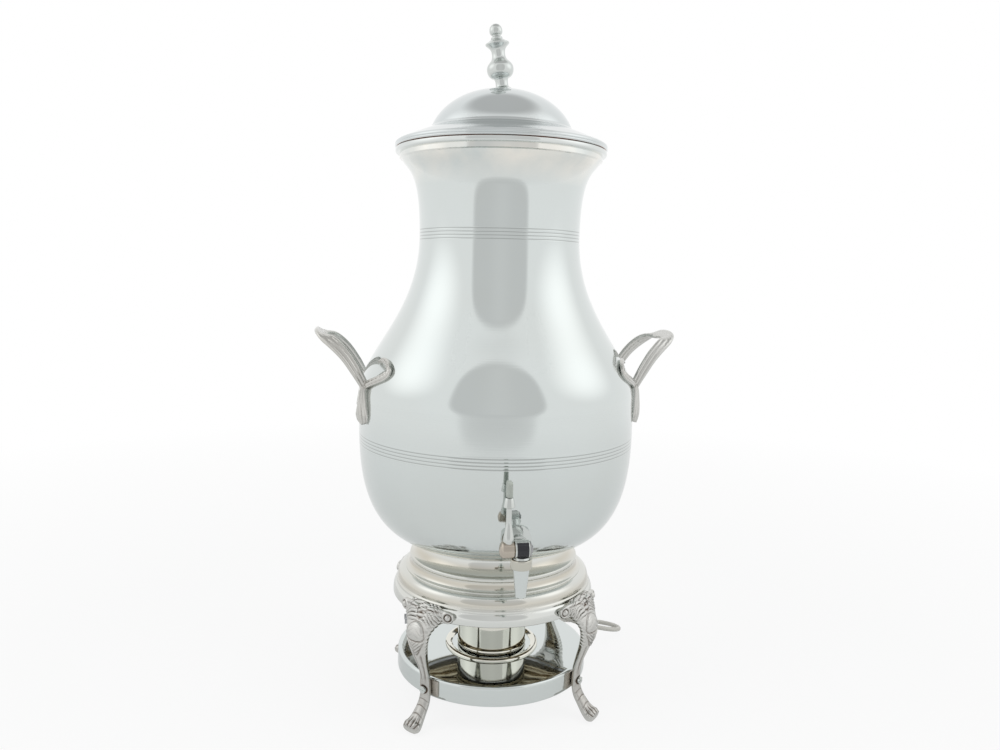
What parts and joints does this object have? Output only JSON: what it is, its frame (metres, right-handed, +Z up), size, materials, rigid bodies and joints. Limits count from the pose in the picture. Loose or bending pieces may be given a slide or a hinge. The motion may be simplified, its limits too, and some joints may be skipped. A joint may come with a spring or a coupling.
{
  "type": "electric coffee urn",
  "caption": "silver-plated electric coffee urn: pear-shaped body, flared neck, domed lid with finial, cast leaf handles, front tap, stepped pedestal on cast legs round a mirror tray, percolator basket and lead",
  "frame": {"origin": "on the table under the middle of the stand", "axes": "+Z up along the axis of the body, -Y towards the tap, +X to the right seen from the tap"},
  "size_m": [0.3524, 0.3765, 0.652],
  "materials": {
    "silver_plate": "bright silver plate on spun brass, softly worn",
    "bright_plate": "mirror-bright silver plate",
    "cast_silver": "silver-plated castings, darkened in the hollows",
    "steel": "plain steel",
    "brass": "turned brass",
    "aluminium": "drawn and polished aluminium",
    "dark_rubber": "black rubber and moulded plastic",
    "wire_sleeve": "grey silicone sleeving",
    "grip": "pale heat-resisting moulding",
    "lead_sheath": "off-white vinyl sheath"
  },
  "bodies": {
    "urn": {"body_shell": "silver_plate", "mouth_rim": "bright_plate", "handle_left": "cast_silver", "handle_right": "cast_silver", "heater_well": "steel", "well_nut": "brass", "tap_rosette": "silver_plate", "tap_barrel": "cast_silver", "inner_washer": "dark_rubber", "tap_lock_nut": "brass", "spout_ring": "cast_silver", "nozzle": "silver_plate", "pedestal": "silver_plate", "stand_ring": "steel", "leg_front_left": "cast_silver", "leg_front_right": "cast_silver", "leg_rear_left": "cast_silver", "leg_rear_right": "cast_silver", "leg_top_screws": "steel", "leg_tray_screws": "cast_silver", "tray_clips": "cast_silver", "tray_disc": "bright_plate", "tray_ring": "bright_plate", "heater_can": "bright_plate", "can_studs": "steel", "can_nuts": "brass", "can_cover": "steel", "cover_screw": "steel", "heating_element": "steel", "thermostat": "dark_rubber", "terminal_block": "grip", "inner_leads": "wire_sleeve", "lead_gland": "dark_rubber", "lead": "lead_sheath", "lead_coil": "lead_sheath", "lead_tie": "dark_rubber", "lead_plug": "lead_sheath", "plug_pins": "brass"},
    "lid": {"lid_shell": "silver_plate", "lid_bead": "bright_plate", "lid_collar": "silver_plate", "finial": "cast_silver", "finial_stud": "steel", "finial_nut": "brass"},
    "tap_key": {"tap_plug": "brass", "key_hub": "cast_silver", "key_stem": "cast_silver", "key_collar": "cast_silver", "key_grip": "grip", "plug_washer": "steel", "plug_screw": "steel"},
    "pump": {"pump_tube": "aluminium", "pump_foot": "aluminium", "pump_valve": "steel", "basket_rest": "aluminium"},
    "basket": {"basket": "aluminium"},
    "basket_lid": {"basket_lid": "aluminium"}
  },
  "joints": [
    {"name": "lid_lift", "type": "slide", "parent": "urn", "child": "lid", "axis": [0, 0, 1], "range_m": [0, 0.6]},
    {"name": "key_turn", "type": "hinge", "parent": "urn", "child": "tap_key", "pos_m": [0, -0.15, 0.196], "axis": [1, 0, 0], "range_deg": [0, 90]},
    {"name": "pump_lift", "type": "slide", "parent": "urn", "child": "pump", "axis": [0, 0, 1], "range_m": [0, 0.42]},
    {"name": "basket_lift", "type": "slide", "parent": "pump", "child": "basket", "axis": [0, 0, 1], "range_m": [0, 0.138]},
    {"name": "basket_lid_lift", "type": "slide", "parent": "basket", "child": "basket_lid", "axis": [0, 0, 1], "range_m": [0, 0.042]}
  ],
  "couplings": [
    {"joint": "pump_lift", "follows": "lid_lift", "ratio": 0.7},
    {"joint": "basket_lift", "follows": "lid_lift", "ratio": 0.23},
    {"joint": "basket_lid_lift", "follows": "lid_lift", "ratio": 0.07}
  ]
}
